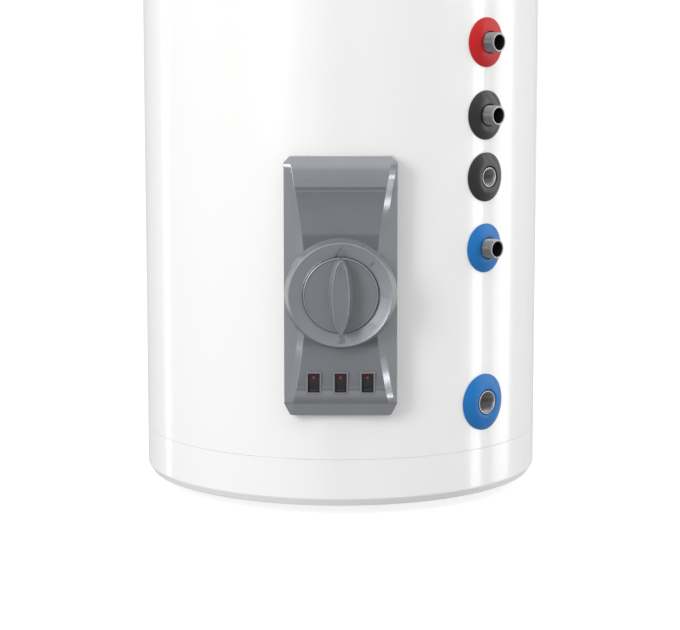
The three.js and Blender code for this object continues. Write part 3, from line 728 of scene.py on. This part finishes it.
def cover_profile():
    """The raised face from the bottom edge to the top edge, as (height, distance from the tank axis)."""
    def up(z, out):
        return Vector((COVER_BOTTOM + z * MM, out * MM))

    def down(z, out):
        return Vector((COVER_TOP - z * MM, out * MM))

    foot = [up(0.6, 290.8), up(16.2, 296.0)]
    roll = curve_points([up(17, 296.4), up(21, 301.0), up(30, 304.9), up(38.5, 304.6)], 14)
    rise = curve_points([up(39.4, 304.35), up(52, 303.4), up(76, 300.6), up(96, 298.6)], 12)
    valley = [up(step * 6, 298.4) for step in range(17, 39)]
    fall = curve_points([down(104, 298.4), down(84, 300.4), down(58, 303.2), down(43.2, 304.2)], 14)
    bead = [down(42.4, 304.55), down(38.4, 304.5), down(37.8, 304.2)]
    facet = [down(28.6, 302.9), down(28.0, 302.75)]
    brow = curve_points([down(27.4, 302.55), down(17, 300.2), down(7, 296.2), down(3.4, 292.2)], 14)
    lip = [down(2.6, 291.4), down(0.6, 290.6)]
    return foot + roll + rise + valley + fall + bead + facet + brow + lip


def cover_section(z, out, grow):
    """Points across the cover at a height, from its right wall to its left wall."""
    corner_z = max(z - (COVER_TOP - COVER_CORNER), (COVER_BOTTOM + COVER_CORNER) - z, 0.0)
    half = COVER_HALF - corner_z + grow
    crest = min(crest_half(z) + grow, half - 2.4 * MM)
    band = min(crest + BAND, half - 0.3 * MM)
    shoulder = min(SHOULDER, out - 3.4 * MM) + grow
    out = out + grow
    lean = 0.1 * (half - band)
    right = [(half, shoulder - lean - 3 * MM), (half, shoulder - lean), (band, shoulder + lean),
             (crest, out), (crest * 0.5, out), (0.0, out)]
    line = rounded(right, [0.0, 1.1 * MM, 0.5 * MM, 0.8 * MM, 0.0, 0.0], steps=3)
    left = [(-x, o) for x, o in reversed(line[:-1])]
    return half, line + left


def cover_rows(grow=0.0):
    """Rows of the cover's skin, grown by a distance: bottom wall, face from bottom to top, top wall."""
    profile = cover_profile()
    low, high = COVER_BOTTOM - grow, COVER_TOP + grow
    seat = CASING_R + 0.3 * MM

    def row(z, out, drop=0.0, share=1.0):
        half, section = cover_section(z, out, grow)
        points = []
        for x, o in section:
            back = math.sqrt(seat ** 2 - x * x)
            points.append(tuple(forward(x, back + (o - drop - back) * share, z)))
        edge = math.sqrt(seat ** 2 - half * half)
        return [tuple(forward(half, edge, z)), *points, tuple(forward(-half, edge, z))]

    first, last = profile[0][1], profile[-1][1]
    rows = [row(low, first, 0.9 * MM, share) for share in (0.0, 1.0)]
    rows.append(row(low + 0.15 * MM, first, 0.3 * MM))
    rows += [row(min(max(z, low + 0.2 * MM), high - 0.2 * MM), out) for z, out in profile]
    rows.append(row(high - 0.15 * MM, last, 0.3 * MM))
    rows += [row(high, last, 0.9 * MM, share) for share in (1.0, 0.0)]
    return rows


def closed_between(name, front_rows, back_rows):
    """A closed body between two skins with the same rows and columns."""
    points, faces = grid(front_rows)
    count, columns = len(points), len(front_rows[0])
    last = (len(front_rows) - 1) * columns
    edge = list(range(columns))
    edge += [i * columns + columns - 1 for i in range(1, len(front_rows))]
    edge += [last + j for j in range(columns - 2, -1, -1)]
    edge += [i * columns for i in range(len(front_rows) - 2, 0, -1)]
    faces += [tuple(i + count for i in reversed(face)) for face in faces]
    for a, b in zip(edge, edge[1:] + edge[:1]):
        faces.append((b, a, a + count, b + count))
    return mesh_from(name, points + [point for row in back_rows for point in row], faces)


def cover_block(grow):
    """The cover's outer shape as one closed body, for fitting other pieces to it."""
    rows = cover_rows(grow)
    back = [[(x, AXIS_Y - 250 * MM, z) for x, y, z in row] for row in rows]
    return closed_between("cover_block", rows, back)


class HEATER_OT_cover(bpy.types.Operator):
    """Build the moulded control cover with its hourglass face"""

    bl_idname = "heater.cover"
    bl_label = "Control cover"

    def execute(self, context):
        sizes = context.scene.heater_sizes
        shell = closed_between("control_cover_moulding", cover_rows(), cover_rows(-sizes.cover_wall))
        window = rounded(rectangle(9.1 * MM, 13.7 * MM), MM, closed=True)
        cutters = [prism("window", window, 0.27, 0.31, front_frame(x, SWITCH_Z)) for x in SWITCH_X]
        cutters.append(rod(4 * MM, 0.27, 0.31, front_frame(0.0, DIAL_Z), 32))
        seat = mm((0, -1), (3.1, -1), (3.1, 2.3), (1.8, 2.3), (1.8, 4), (0, 4))
        for name in ("cover_screw_left", "cover_screw_right"):
            screw = middle(name)
            cutters.append(turned("seat", seat, Matrix.Translation((screw.x, screw.y, COVER_BOTTOM)), 32))
        piece("control_cover_moulding", combined(shell, cutters), HEATER, "grey_plastic", "control_cover",
              sharp=38.0)
        return {"FINISHED"}


# ---- Dial ring and knob ----------------------------------------------------------------------------
KNOB_R = (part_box("thermostat_knob")[1].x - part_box("thermostat_knob")[0].x) / 2
DIAL_R = (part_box("dial_ring")[1].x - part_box("dial_ring")[0].x) / 2


DISH_START = 50.6 * MM
DISH_LOW, DISH_RISE = 313.2, 4.6  # millimetres


def dial_out(radius):
    """Height of the dished dial face at a radius."""
    share = (radius - DISH_START) / (DIAL_R - 5.2 * MM - DISH_START)
    return (DISH_LOW + DISH_RISE * max(0.0, share)) * MM


def dial_prism(outline, angle, under, over, over_end=None):
    """A prism that follows the dish: outline in (aside, outwards), angle clockwise from the top."""
    near, far = min(y for _, y in outline), max(y for _, y in outline)
    climb = (over_end - over) / (far - near) if over_end is not None else 0.0
    sin, cos = math.sin(angle), math.cos(angle)
    bottom, top = [], []
    for aside, out in outline:
        across, up = aside * cos + out * sin, out * cos - aside * sin
        bottom.append((across, up, dial_out(out) - under))
        top.append((across, up, dial_out(out) + over + climb * (out - near)))
    return stacked("dial_prism", [bottom, top], front_frame(0.0, DIAL_Z))


def bar(aside, start, end, width):
    """The outline of a bar that points outwards."""
    left, right = aside - width / 2, aside + width / 2
    return [(left, start), (right, start), (right, end), (left, end)]


class HEATER_OT_dial(bpy.types.Operator):
    """Build the fixed dial ring with its bar marks"""

    bl_idname = "heater.dial"
    bl_label = "Dial ring"

    def execute(self, context):
        ring = turned("dial_ring_moulding", self.outline(), front_frame(0.0, DIAL_Z), DIAL_STEPS, closed=True)
        sunk = []
        for angle, bars in ((45, 2), (90, 3), (135, 4)):
            for k in range(bars):
                aside = (k - (bars - 1) / 2) * 2.5 * MM
                outline = bar(aside, 54 * MM, 61.4 * MM, 1.2 * MM)
                sunk.append(dial_prism(outline, math.radians(angle), 0.9 * MM, 8 * MM))
        wedge = mm((-8, 50), (8, 50), (2.2, 60.5), (0, 62.5), (-2.2, 60.5))
        sunk.append(dial_prism(wedge, 0.0, 2.2 * MM, 8 * MM))
        ring = combined(ring, [cover_block(0.15 * MM), *sunk])
        fan = []
        for k in (-1.5, -0.5, 0.5, 1.5):
            outline = bar(k * 2.3 * MM, 53.2 * MM, 61.8 * MM, 1.6 * MM)
            fan.append(dial_prism(outline, math.pi, 0.8 * MM, 0.2 * MM, 2.4 * MM))
        ring = combined(ring, fan, "UNION")
        piece("dial_ring_moulding", ring, HEATER, "grey_plastic", "dial_ring", "dial_plastic")
        return {"FINISHED"}

    def outline(self):
        """The ring's section, as (radius, distance from the tank axis)."""
        face, inner = DIAL_R - 4 * MM, KNOB_R + 0.55 * MM
        back, front, slope = 294.4 * MM, 318 * MM, 0.235
        skirt = face + (front - back) * slope
        dish = [inner + (face - 1.6 * MM - inner) * k / 10 for k in range(9, 0, -1)]
        return [
            (skirt - 2.4 * MM, back), (skirt, back),
            *rounded([(skirt, back + MM), (face, front - 0.8 * MM), (face - 1.2 * MM, front)], 0.7 * MM),
            *((radius, dial_out(radius)) for radius in dish),
            (inner + 0.9 * MM, dial_out(inner)), (inner + 0.4 * MM, dial_out(inner) + 0.2 * MM),
            (inner, dial_out(inner) - 0.2 * MM), (inner, 303 * MM), (inner + 2.4 * MM, 303 * MM),
            (inner + 3 * MM, 308.5 * MM), (face - 3.4 * MM, 311.5 * MM),
        ]


def grip_outline(half, wide, steps=36):
    """A slim oval with narrow tips at the top and bottom, as (across, up) points."""
    right = []
    for i in range(steps + 1):
        turn = math.pi * (i / steps - 0.5)
        right.append((wide * math.cos(turn) ** 1.16, half * math.sin(turn)))
    return right + [(-x, y) for x, y in reversed(right[1:-1])]


class HEATER_OT_knob(bpy.types.Operator):
    """Build the thermostat knob with its grip and pointer"""

    bl_idname = "heater.knob"
    bl_label = "Thermostat knob"

    def execute(self, context):
        place = front_frame(0.0, DIAL_Z)
        top, crest = 316.4 * MM, 340.2 * MM
        off_line = Matrix.Rotation(math.radians(1.1), 4, "Z")  # keeps the grip's tips off the disk's edges
        disk = turned("thermostat_knob_body", self.disk_outline(KNOB_R, top), place @ off_line, KNOB_STEPS)
        levels = [
            (1.0, 1.0, top - MM), (0.998, 0.975, top + 1.4 * MM), (0.992, 0.87, top + 10 * MM),
            (0.984, 0.73, crest - 3.2 * MM), (0.98, 0.69, crest - 1.1 * MM),
            (0.972, 0.66, crest - 0.3 * MM), (0.962, 0.63, crest), (0.952, 0.59, crest),
            (0.94, 0.55, crest - 0.9 * MM), (0.5, 0.3, crest - 1.1 * MM),
        ]
        half, wide = 49.3 * MM, 16.6 * MM
        grip = stacked("grip", [
            [(x, y, out) for x, y in grip_outline(half * up, wide * across)] for up, across, out in levels
        ], place)
        knob = combined(disk, [grip], "UNION")
        pointer = mm((-2.6, 36.5), (0, 40.6), (2.6, 36.5), (1.1, 36.5), (1.1, 29), (-1.1, 29), (-1.1, 36.5))
        knob = combined(knob, [prism("pointer", pointer, crest - 1.7 * MM, crest + 2 * MM, place)])
        piece("thermostat_knob_body", knob, "thermostat_control", "grey_plastic", "thermostat_knob",
              "knob_plastic", 40.0)
        return {"FINISHED"}

    def disk_outline(self, r, top):
        """The section of the knob's disk, hollow behind, as (radius, distance from the tank axis)."""
        inside = [(0, top - 3 * MM), (3.4 * MM, top - 3 * MM), (3.4 * MM, 307 * MM), (9 * MM, 307 * MM),
                  (9 * MM, top - 3 * MM), (r - 3 * MM, top - 3.2 * MM), (r - 3 * MM, 306.2 * MM)]
        bead = curve_points([(r, top - 1.6 * MM), (r, top + 0.6 * MM), (r - 0.9 * MM, top + 1.2 * MM),
                             (r - 2.6 * MM, top + 0.9 * MM)], 10)
        rim = [(r, 306.2 * MM), (r, top - 2.2 * MM), *(tuple(point) for point in bead)]
        face = [(r - 3.1 * MM, top + 0.1 * MM), (r - 8 * MM, top + 0.1 * MM), (r * 0.5, top + 0.5 * MM),
                (0, top + 0.6 * MM)]
        return inside + rim + face


# ---- Switches --------------------------------------------------------------------------------------
ROCKER_PIVOT = 300.5 * MM
ROCKER_TILT = math.radians(7)
ACROSS = Matrix.Rotation(math.pi / 2, 4, "Y")  # lays a turned piece along a rocker's axis
LENS_STEPS = 40


class HEATER_OT_switches(bpy.types.Operator):
    """Build the three rocker switches with their indicators"""

    bl_idname = "heater.switches"
    bl_label = "Rocker switches"

    def execute(self, context):
        for index, x in enumerate(SWITCH_X, 1):
            self.housing(index, x)
            self.rocker(index, x)
        return {"FINISHED"}

    def housing(self, index, x):
        """The frame around a rocker, and the box behind it."""
        loops = []
        for grow, out in ((-1.3, 287), (-1.3, 303.6), (0, 303.6), (0, 305.0), (-0.5, 305.9), (-1.4, 306.2),
                          (-2.4, 306.1)):
            sides = rectangle((10.15 + grow) * MM, (14.8 + grow) * MM)
            outline = rounded(sides, (1.8 + 0.3 * grow) * MM, True)
            loops.append([(a, b, out * MM) for a, b in outline])
        for half_w, half_h, out in ((7.35, 12.5, 305.2), (7.25, 12.4, 290.5)):
            outline = rounded(rectangle(half_w * MM, half_h * MM), 0.7 * MM, True)
            loops.append([(a, b, out * MM) for a, b in outline])
        name = f"switch_frame_{index}"
        frame_mesh = stacked(name, loops, front_frame(x, SWITCH_Z))
        pin_holes = rod(1.5 * MM, -9 * MM, 9 * MM, rocker_place(x) @ ACROSS)
        piece(name, combined(frame_mesh, [pin_holes]), HEATER, "grey_plastic", f"switch_housing_{index}",
              sharp=30.0)

    def rocker(self, index, x):
        """The concave rocker with its pins, and the lens in it."""
        place = rocker_place(x)
        half, wide, crown, rib = 11.9 * MM, 6.8 * MM, 4.2 * MM, 0.45 * MM
        dip = curve_points([(-half * 0.93, crown), (-half * 0.4, 2.2 * MM), (half * 0.4, 2.2 * MM),
                            (half * 0.93, crown)], 16)
        belly = rounded([
            (half * 0.93, crown), (half, crown - 0.6 * MM), (half, 0), (9 * MM, -3 * MM),
            (3.5 * MM, -6.8 * MM), (-3.5 * MM, -6.8 * MM), (-9 * MM, -3 * MM), (-half, 0),
            (-half, crown - 0.6 * MM), (-half * 0.93, crown),
        ], 0.4 * MM)
        face = [tuple(point) for point in dip[1:-1]]
        rows = []
        for across, sunk in ((-1.0, 0.0), (-0.8, 0.0), (-0.76, rib), (0.76, rib), (0.8, 0.0), (1.0, 0.0)):
            rows.append([(across * wide, up, out - sunk) for up, out in face]
                        + [(across * wide, up, out) for up, out in belly])
        body = stacked(f"rocker_{index}", rows, place)
        body = combined(body, [rod(1.2 * MM, -8.9 * MM, 8.9 * MM, place @ ACROSS)], "UNION")
        lens_place = place @ Matrix.Translation((0, 7 * MM, 0))
        body = combined(body, [rod(1.95 * MM, 1.5 * MM, 6 * MM, lens_place, LENS_STEPS)])
        piece(f"rocker_{index}_face", body, f"rocker_{index}", "black_plastic", f"switch_rocker_{index}",
              sharp=28.0)
        rise = [math.pi / 2 * k / 8 for k in range(1, 9)]
        dome = mm((0, 1.7), (1.8, 1.7), (1.8, 2.9))
        dome += [(1.8 * MM * math.cos(a), 2.9 * MM + 0.6 * MM * math.sin(a)) for a in rise]
        piece(f"indicator_{index}_lens", turned("lens", dome, lens_place, LENS_STEPS), f"rocker_{index}",
              "red_lens", f"indicator_lens_{index}", sharp=60.0)


def rocker_place(x):
    """Turns a rocker's own (across, up, out) into the row frame at rest."""
    pivot = front_frame(x, SWITCH_Z) @ Matrix.Translation((0, 0, ROCKER_PIVOT))
    return pivot @ Matrix.Rotation(ROCKER_TILT, 4, "X")


# ---- Base, top plug and gland ----------------------------------------------------------------------
class HEATER_OT_fittings(bpy.types.Operator):
    """Build the feet, the plug on top and the cable gland at the back"""

    bl_idname = "heater.fittings"
    bl_label = "Feet, plug and gland"

    def execute(self, context):
        for name in ("foot_rear", "foot_left", "foot_right"):
            self.foot(name)
        self.plug()
        self.gland()
        return {"FINISHED"}

    def foot(self, name):
        """A rubber foot with a groove in its sole."""
        centre, top = middle(name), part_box(name)[1].z
        sole = mm((0, 0), (12, 0), (12.6, 1.2), (16, 1.2), (16.6, 0), (20, 0), (20, 7.5))
        outline = rounded([*sole, (15 * MM, top - 2 * MM), (15 * MM, top), (0, top)], 0.7 * MM)
        place = Matrix.Translation((centre.x, centre.y, 0))
        piece(name + "_pad", turned(name, outline, place, 64), HEATER, "rubber", name)

    def plug(self):
        """The plug in the upper cap, with a slot to turn it."""
        low, high = (corner.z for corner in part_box("top_plug"))
        outline = [(0, low), *rounded([
            (29.5 * MM, low), (29.5 * MM, high - 2.1 * MM), (35.6 * MM, high - 2.1 * MM),
            (34.8 * MM, high), (24 * MM, high), (22.5 * MM, high - MM), (0, high - MM),
        ], 0.6 * MM)]
        lid = turned("top_plug_lid", outline, upright_frame())
        slot = prism("slot", rounded(rectangle(14 * MM, 1.6 * MM), 0.8 * MM, True),
                     high - 2.6 * MM, high + MM, upright_frame())
        piece("top_plug_lid", combined(lid, [slot]), HEATER, "grey_plastic", "top_plug")

    def gland(self):
        """The cable gland, with a nut against the casing and a ribbed cap."""
        place = front_frame(0.0, middle("cable_gland").z) @ Matrix.Rotation(math.pi, 4, "Y")
        inside, seat, front = CASING_R - 12 * MM, CASING_R + 0.2 * MM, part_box("cable_gland")[1].y - AXIS_Y
        outline = rounded([
            (4.6 * MM, inside), (7.3 * MM, inside), (7.3 * MM, seat), (12.6 * MM, seat),
            (12.6 * MM, seat + 1.6 * MM), (9.6 * MM, seat + 1.6 * MM), (9.6 * MM, seat + 8.6 * MM),
            (10.6 * MM, seat + 8.8 * MM), (10.6 * MM, front - 6 * MM), (7.4 * MM, front), (4.6 * MM, front),
        ], 0.5 * MM, closed=True)
        barrel = turned("cable_gland_body", outline, place, closed=True)
        corners = [math.radians(60 * k) for k in range(6)]
        hexagon = [(11.9 * MM * math.cos(angle), 11.9 * MM * math.sin(angle)) for angle in corners]
        nut = prism("nut", rounded(hexagon, 0.8 * MM, True), seat + 1.5 * MM, seat + 7 * MM, place)
        nut = combined(nut, [rod(5 * MM, 0.2, 0.35, place, 48)])
        grooves = [
            prism("groove", rectangle(0.35 * MM, 0.5 * MM, 0.0, 10.6 * MM), seat + 9.6 * MM,
                  front - 5.6 * MM, place @ Matrix.Rotation(math.radians(30 * k), 4, "Z"))
            for k in range(12)
        ]
        barrel = combined(combined(barrel, [nut], "UNION"), grooves)
        piece("cable_gland_body", barrel, HEATER, "black_plastic", "cable_gland")


# ---- Pieces kept from the frame --------------------------------------------------------------------
class HEATER_OT_inside(bpy.types.Operator):
    """Give the pieces inside the casing their finishes"""

    bl_idname = "heater.inside"
    bl_label = "Inner pieces"

    def execute(self, context):
        slots = {part["node"]: part["material_slot"] for part in frame["record"]["subparts"]}
        for name, node in frame["nodes"].items():
            if node.hide_render:
                continue
            node.data.materials.clear()
            node.data.materials.append(material(slots[name]))
        return {"FINISHED"}


# ---- Stage -----------------------------------------------------------------------------------------
FLOOR_HALF = 500.0
SWEEP_STEPS = 96
SWEEP = ((12, 0.0005), (16, 0.12), (24, 0.8), (34, 2.3), (46, 4.8), (60, 8.6))  # radius and height
# name, azimuth from the front to the right, distance, height, size, power, height that it is aimed at
LIGHTS = (
    ("overhead_box", 0, 0.8, 4.5, (8.0, 8.0), 110, 0.0),
    ("key_box", -38, 3.6, 1.5, (1.0, 1.8), 74, 0.35),
    ("fill_box", 70, 4.0, 1.3, (1.6, 2.4), 7, 0.5),
    ("strip_right", 81.5, 2.6, 1.0, (0.34, 3.2), 18, 0.8),
    ("strip_right_rear", 104, 2.6, 1.0, (0.75, 3.2), 18, 0.8),
    ("strip_left_rear", -117, 2.6, 1.0, (0.26, 3.2), 5, 0.8),
)


def area_light(name, azimuth, distance, height, size, power, aim_height):
    """A soft box that is aimed at the tank and isn't seen itself."""
    data = bpy.data.lights.new(name, "AREA")
    data.shape = "RECTANGLE"
    data.size, data.size_y = size
    data.energy = power
    lamp = bpy.data.objects.new(name, data)
    bpy.context.scene.collection.objects.link(lamp)
    angle = math.radians(azimuth)
    place = Vector((distance * math.sin(angle), AXIS_Y - distance * math.cos(angle), height))
    lamp.location = place
    lamp.rotation_euler = (Vector((0, AXIS_Y, aim_height)) - place).to_track_quat("-Z", "Y").to_euler()
    lamp.visible_camera = False


def backdrop(mesh):
    """A part of the stage that shows, but neither lights the heater nor is mirrored in it."""
    made = loose(mesh)
    made.data.materials.append(material("studio_floor"))
    made.visible_diffuse = made.visible_glossy = False
    return made


class HEATER_OT_stage(bpy.types.Operator):
    """Set up the pale floor, the soft boxes and the camera"""

    bl_idname = "heater.stage"
    bl_label = "Stage"

    def execute(self, context):
        scene = context.scene
        corners = [(x, y, 0) for x, y in rectangle(FLOOR_HALF, FLOOR_HALF)]
        backdrop(mesh_from("studio_floor", corners, [(0, 1, 2, 3)]))
        turns = [math.tau * k / SWEEP_STEPS for k in range(SWEEP_STEPS)]
        rows = [[(r * math.cos(turn), r * math.sin(turn), z) for turn in turns] for r, z in SWEEP]
        sweep = backdrop(mesh_from("studio_sweep", *grid(rows, wrap_columns=True)))
        sweep.visible_shadow = False
        self.sky(scene)
        for light in LIGHTS:
            area_light(*light)
        self.camera(scene, scene.heater_sizes)
        scene.view_settings.view_transform = "Standard"
        return {"FINISHED"}

    def camera(self, scene, sizes):
        """The camera in front of the heater."""
        lens = bpy.data.cameras.new("camera")
        lens.lens = 112.18
        lens.sensor_width = 36
        lens.shift_x, lens.shift_y = -0.001, -0.048
        lens.clip_end = 1200
        camera = bpy.data.objects.new("camera", lens)
        scene.collection.objects.link(camera)
        camera.location = (0, AXIS_Y - sizes.camera_distance, sizes.camera_height)
        camera.rotation_euler = (math.pi / 2 - sizes.camera_tilt, 0, 0)
        scene.camera = camera

    def sky(self, scene):
        """Light from all round: dim below, and dark where the front of the room is open."""
        world = bpy.data.worlds.new("studio")
        scene.world = world
        world.use_nodes = True
        sky = Nodes(world.node_tree)
        way = sky.node("ShaderNodeTexCoord", output="Generated")
        height = sky.node("ShaderNodeSeparateXYZ", values={0: way}, output="Z")
        upper = sky.node("ShaderNodeMapRange", values={
            "Value": height, "From Min": -0.97, "From Max": -0.6, "To Min": 0.34, "To Max": 0.65,
        })
        ahead = sky.node("ShaderNodeVectorMath", {"operation": "DOT_PRODUCT"},
                         {0: way, 1: (0.0, -0.993, -0.12)}, output="Value")
        opening = sky.node("ShaderNodeMapRange", values={"Value": ahead, "From Min": 0.97, "From Max": 0.998})
        background = world.node_tree.nodes["Background"]
        background.inputs["Color"].default_value = (1, 1, 1, 1)
        world.node_tree.links.new((upper * (1 - opening)).socket, background.inputs["Strength"])


# ---- Panel and registration ------------------------------------------------------------------------
OPERATORS = (
    HEATER_OT_stage, HEATER_OT_casing, HEATER_OT_ports, HEATER_OT_rosettes, HEATER_OT_cover, HEATER_OT_dial,
    HEATER_OT_knob, HEATER_OT_switches, HEATER_OT_fittings, HEATER_OT_inside,
)


class HEATER_PT_panel(bpy.types.Panel):
    """The heater's operators and settings"""

    bl_idname = "HEATER_PT_panel"
    bl_label = "Tank Water Heater"
    bl_space_type = "VIEW_3D"
    bl_region_type = "UI"
    bl_category = "Heater"

    def draw(self, context):
        for operator in OPERATORS:
            self.layout.operator(operator.bl_idname)
        for group in (context.scene.heater_sizes, context.scene.heater_colors):
            for name in group.__annotations__:
                self.layout.prop(group, name)


CLASSES = (HeaterColors, HeaterSizes, *OPERATORS, HEATER_PT_panel)


def register():
    """Adds the classes and the settings to the scene."""
    for item in CLASSES:
        bpy.utils.register_class(item)
    bpy.types.Scene.heater_colors = bpy.props.PointerProperty(type=HeaterColors)
    bpy.types.Scene.heater_sizes = bpy.props.PointerProperty(type=HeaterSizes)


def unregister():
    """Takes them away again."""
    del bpy.types.Scene.heater_sizes
    del bpy.types.Scene.heater_colors
    for item in reversed(CLASSES):
        bpy.utils.unregister_class(item)


def main():
    """Builds the whole heater."""
    register()
    for operator in OPERATORS:
        group, name = operator.bl_idname.split(".")
        getattr(getattr(bpy.ops, group), name)()


if __name__ == "__main__":
    main()
